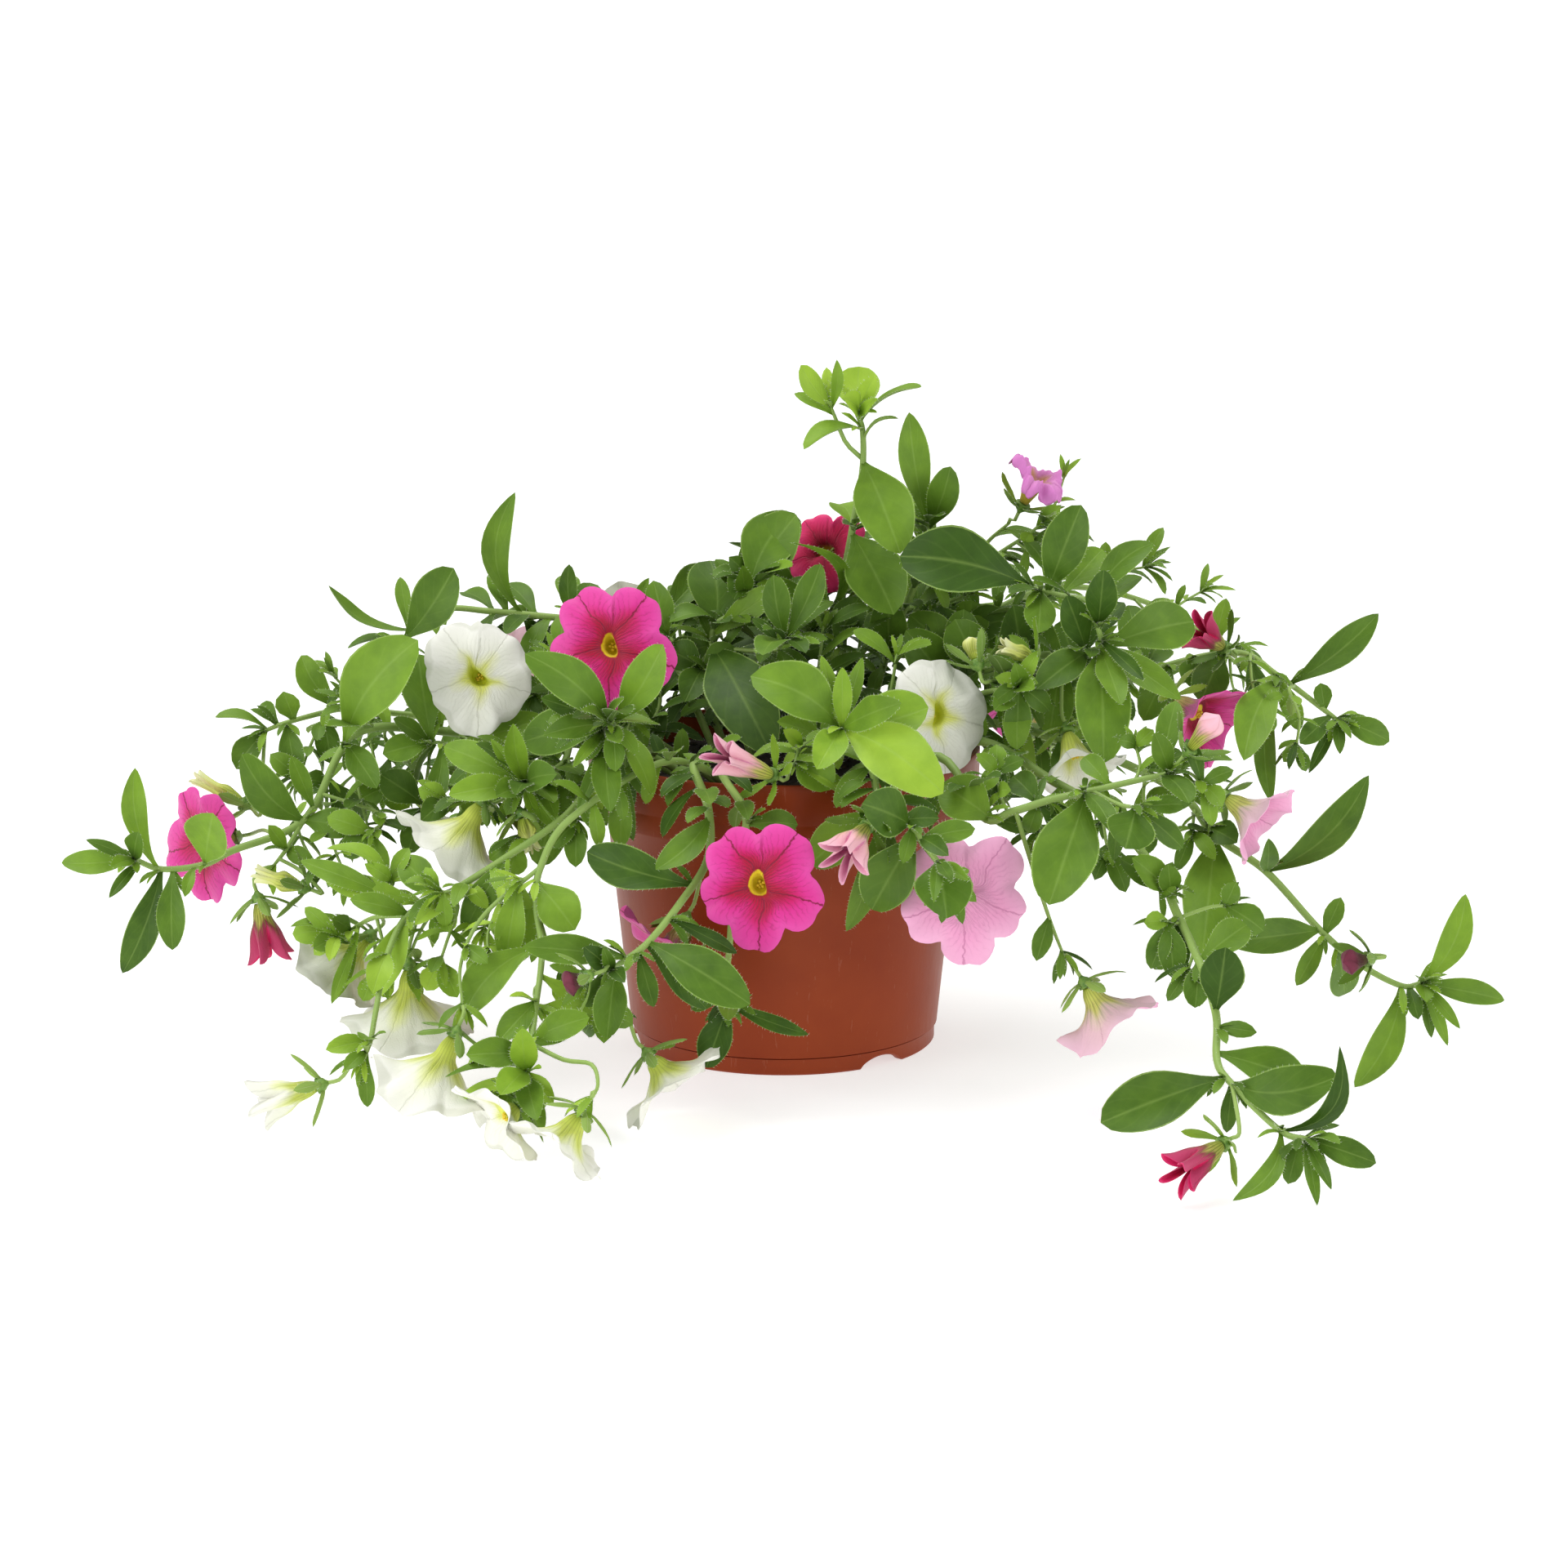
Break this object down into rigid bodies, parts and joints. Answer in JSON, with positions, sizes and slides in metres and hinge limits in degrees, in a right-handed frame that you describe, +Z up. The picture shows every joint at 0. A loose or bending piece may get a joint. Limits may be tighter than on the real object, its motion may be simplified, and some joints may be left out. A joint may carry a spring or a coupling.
{
  "type": "potted calibrachoa",
  "caption": "Trailing flowering plant with funnel-shaped five-lobed flowers and small leaves on thin stems, growing over the rim of a round tapered plastic pot.",
  "frame": {"origin": "on the surface that the pot stands on, under the middle of the plant's own box", "axes": "+Z up, +X along the plant's longest extent, the plant's best side towards -Y"},
  "size_m": [0.431, 0.337, 0.208],
  "materials": {
    "pot_plastic": "satin",
    "potting_soil": "rough",
    "foliage": "satin",
    "petal_magenta": "matte",
    "petal_white": "matte",
    "petal_pink": "matte",
    "petal_crimson": "matte",
    "petal_faded": "matte",
    "petal_folded": "matte",
    "petal_maroon": "matte"
  },
  "bodies": {
    "root": {"pot": "pot_plastic", "soil": "potting_soil", "stem_top": "foliage", "stem_top_right": "foliage", "stem_top_left": "foliage", "stem_top_back": "foliage", "stem_high_left": "foliage", "stem_left_rosette": "foliage", "stem_left_long": "foliage", "stem_left_upper": "foliage", "stem_left_mid": "foliage", "stem_low_outer": "foliage", "stem_low_inner": "foliage", "stem_front_left": "foliage", "stem_front_foot": "foliage", "stem_front_centre": "foliage", "stem_front_right": "foliage", "stem_right_front": "foliage", "stem_right_crown": "foliage", "stem_right_rosette": "foliage", "stem_right_long": "foliage", "stem_right_low": "foliage", "stem_right_upper": "foliage", "stem_back_left": "foliage", "stem_back_mid": "foliage", "stem_back_right": "foliage", "stem_back_side": "foliage", "bloom_magenta_left": "petal_magenta", "bloom_white_left": "petal_white", "bloom_magenta_front": "petal_magenta", "bloom_white_centre": "petal_white", "bloom_pink_front": "petal_pink", "bloom_white_mid": "petal_white", "bloom_white_low": "petal_white", "bloom_white_far_left": "petal_white", "bloom_white_floor_left": "petal_white", "bloom_white_floor_mid": "petal_white", "bloom_white_floor_right": "petal_white", "bloom_white_small": "petal_white", "bloom_white_foot": "petal_white", "bloom_pink_low_right": "petal_pink", "bloom_pink_right": "petal_pink", "bloom_crimson_top": "petal_crimson", "bloom_magenta_right": "petal_magenta", "bloom_white_hanging": "petal_white", "bloom_pink_faded": "petal_faded", "bloom_magenta_far_left": "petal_magenta", "bloom_crimson_left": "petal_crimson", "bloom_pink_folded": "petal_folded", "bloom_pink_star": "petal_folded", "bloom_crimson_right": "petal_crimson", "bloom_pink_bud": "petal_folded", "bloom_maroon_right": "petal_maroon", "bloom_crimson_low": "petal_crimson", "bloom_magenta_low": "petal_magenta", "bloom_maroon_left": "petal_maroon", "bloom_white_back": "petal_white", "bloom_magenta_back": "petal_magenta", "bloom_pink_back": "petal_pink", "bloom_crimson_back": "petal_crimson"}
  },
  "joints": []
}
